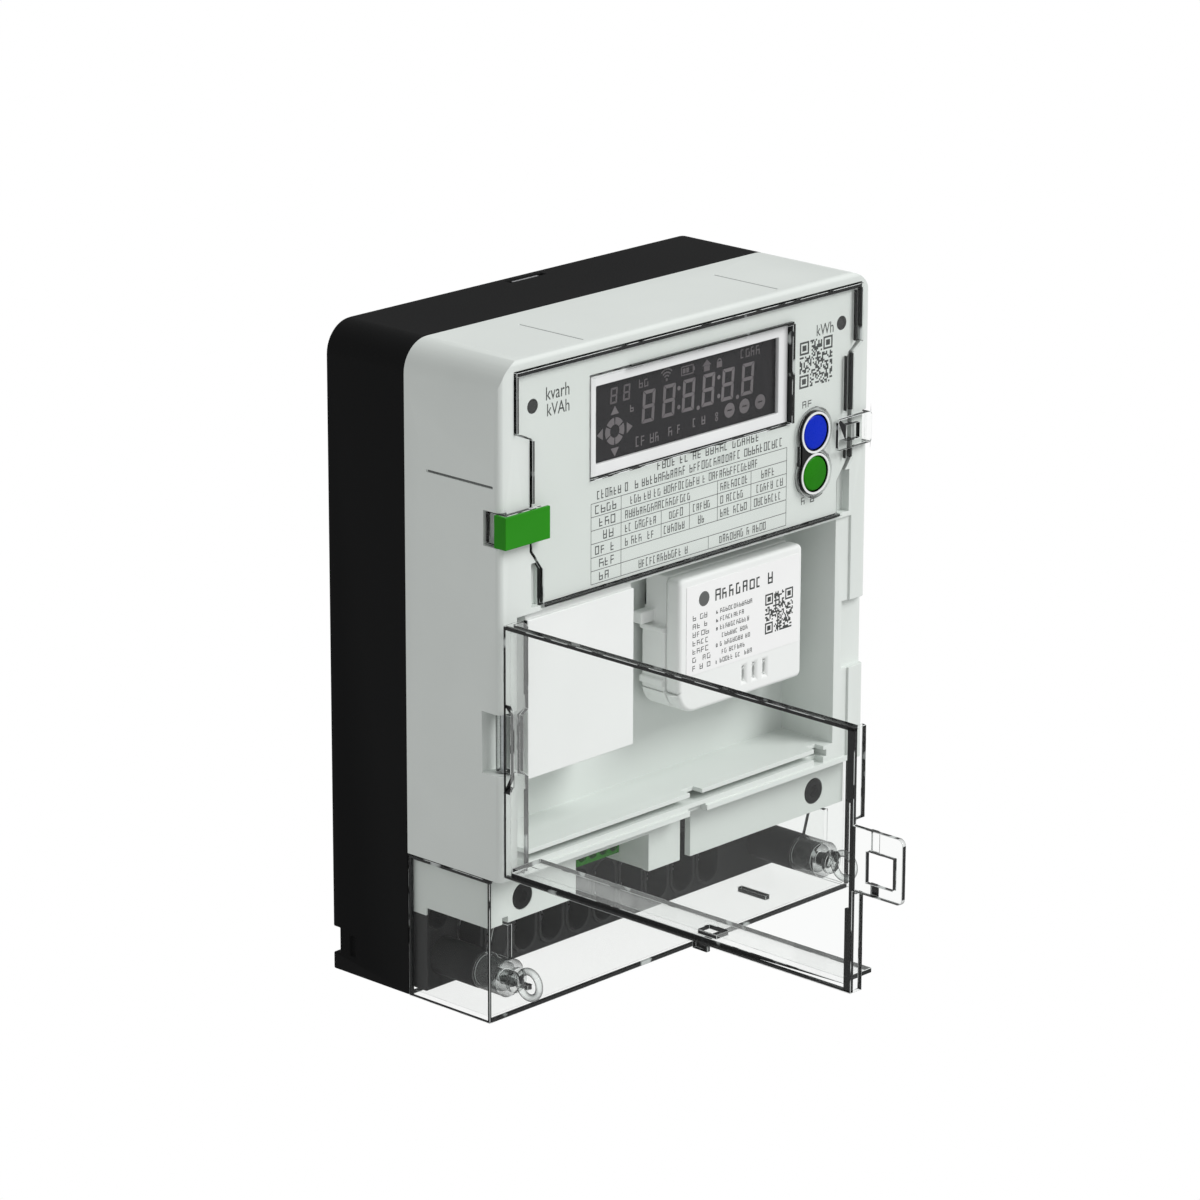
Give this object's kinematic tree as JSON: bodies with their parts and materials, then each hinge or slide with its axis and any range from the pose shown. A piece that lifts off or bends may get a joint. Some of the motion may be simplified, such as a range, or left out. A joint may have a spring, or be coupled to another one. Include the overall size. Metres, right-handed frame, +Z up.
{
  "type": "electricity meter",
  "caption": "Wall-mounted electronic electricity meter with a dark display, two buttons, a hinged clear module door, a clear terminal cover, ring-handled seal screws and a plug-in modem.",
  "frame": {"origin": "middle of the flat back face that lies on the wall", "axes": "+X to the right seen from the front, +Y into the wall, +Z up; the front faces -Y"},
  "size_m": [0.1789, 0.2459, 0.222],
  "materials": {
    "black_plastic": "fine moulded texture",
    "zinc_steel": "zinc plated",
    "gasket_rubber": "matt",
    "housing_plastic": "satin moulded",
    "clear_plastic": "clear polycarbonate, polished",
    "green_plastic": "satin",
    "printed_plastic": "printed sheet",
    "bezel_silver": "polished clear and silver",
    "lens_glass": "polished",
    "lcd_dark": "dark liquid crystal glass",
    "light_guide": "diffusing",
    "gloss_black": "satin",
    "pale_ring": "satin",
    "blue_plastic": "satin",
    "green_button": "satin",
    "lamp_dark": "dark tinted lens",
    "lamp_red": "lamp",
    "board_green": "solder mask",
    "brass": "drawn",
    "transformer_core": "varnished",
    "capacitor_sleeve": "shrink sleeve",
    "battery_sleeve": "shrink sleeve",
    "sensor_blue": "cast shell",
    "white_plastic": "satin moulded",
    "paper_label": "printed label",
    "terminal_black": "moulded"
  },
  "bodies": {
    "meter": {"rear_case": "black_plastic", "case_gasket": "gasket_rubber", "front_housing": "housing_plastic", "case_screws": "black_plastic", "window_cover": "clear_plastic", "seal_clip": "green_plastic", "faceplate": "printed_plastic", "display_bezel": "bezel_silver", "display_lens": "lens_glass", "lcd_panel": "lcd_dark", "backlight": "light_guide", "button_bezel": "gloss_black", "button_rings": "pale_ring", "keypad_mat": "gasket_rubber", "tact_switches": "gloss_black", "led_lenses": "lamp_dark", "pulse_leds": "lamp_red", "display_board": "board_green", "main_board": "board_green", "board_spacers": "brass", "power_transformer": "transformer_core", "capacitors": "capacitor_sleeve", "backup_battery": "battery_sleeve", "current_sensors": "sensor_blue", "current_straps": "brass", "blank_panel": "white_plastic", "modem_case": "white_plastic", "modem_lid": "white_plastic", "modem_label": "paper_label", "modem_board": "board_green", "modem_header": "gloss_black", "bay_connector": "gloss_black", "hinge_pin": "zinc_steel", "terminal_block": "terminal_black", "terminal_clamps": "brass", "terminal_screws": "zinc_steel", "signal_connector": "green_plastic", "signal_screws": "zinc_steel"},
    "hanger": {"hanger": "zinc_steel"},
    "menu_button": {"menu_button": "blue_plastic"},
    "move_button": {"move_button": "green_button"},
    "door": {"door": "clear_plastic"},
    "terminal_cover": {"terminal_cover": "clear_plastic"},
    "cover_screw_left": {"cover_screw_left": "clear_plastic"},
    "cover_screw_right": {"cover_screw_right": "clear_plastic"}
  },
  "joints": [
    {"name": "door_hinge", "type": "hinge", "parent": "meter", "child": "door", "pos_m": [-0.084, -0.0745, 0], "axis": [0, 0, 1], "range_deg": [0, 90]},
    {"name": "menu_button_press", "type": "slide", "parent": "meter", "child": "menu_button", "axis": [0, 1, 0], "range_m": [0, 0.0012], "stiffness_N_per_m": 900, "springref_m": -0.0006},
    {"name": "move_button_press", "type": "slide", "parent": "meter", "child": "move_button", "axis": [0, 1, 0], "range_m": [0, 0.0012], "stiffness_N_per_m": 900, "springref_m": -0.0006},
    {"name": "terminal_cover_slide", "type": "slide", "parent": "meter", "child": "terminal_cover", "axis": [0, -1, 0], "range_m": [0, 0.05]},
    {"name": "cover_screw_left_turn", "type": "hinge", "parent": "terminal_cover", "child": "cover_screw_left", "pos_m": [-0.078, -0.0802, -0.0985], "axis": [0, -1, 0], "continuous": true},
    {"name": "cover_screw_right_turn", "type": "hinge", "parent": "terminal_cover", "child": "cover_screw_right", "pos_m": [0.078, -0.0802, -0.0985], "axis": [0, -1, 0], "continuous": true},
    {"name": "hanger_slide", "type": "slide", "parent": "meter", "child": "hanger", "axis": [0, 0, 1], "range_m": [0, 0.016]}
  ]
}
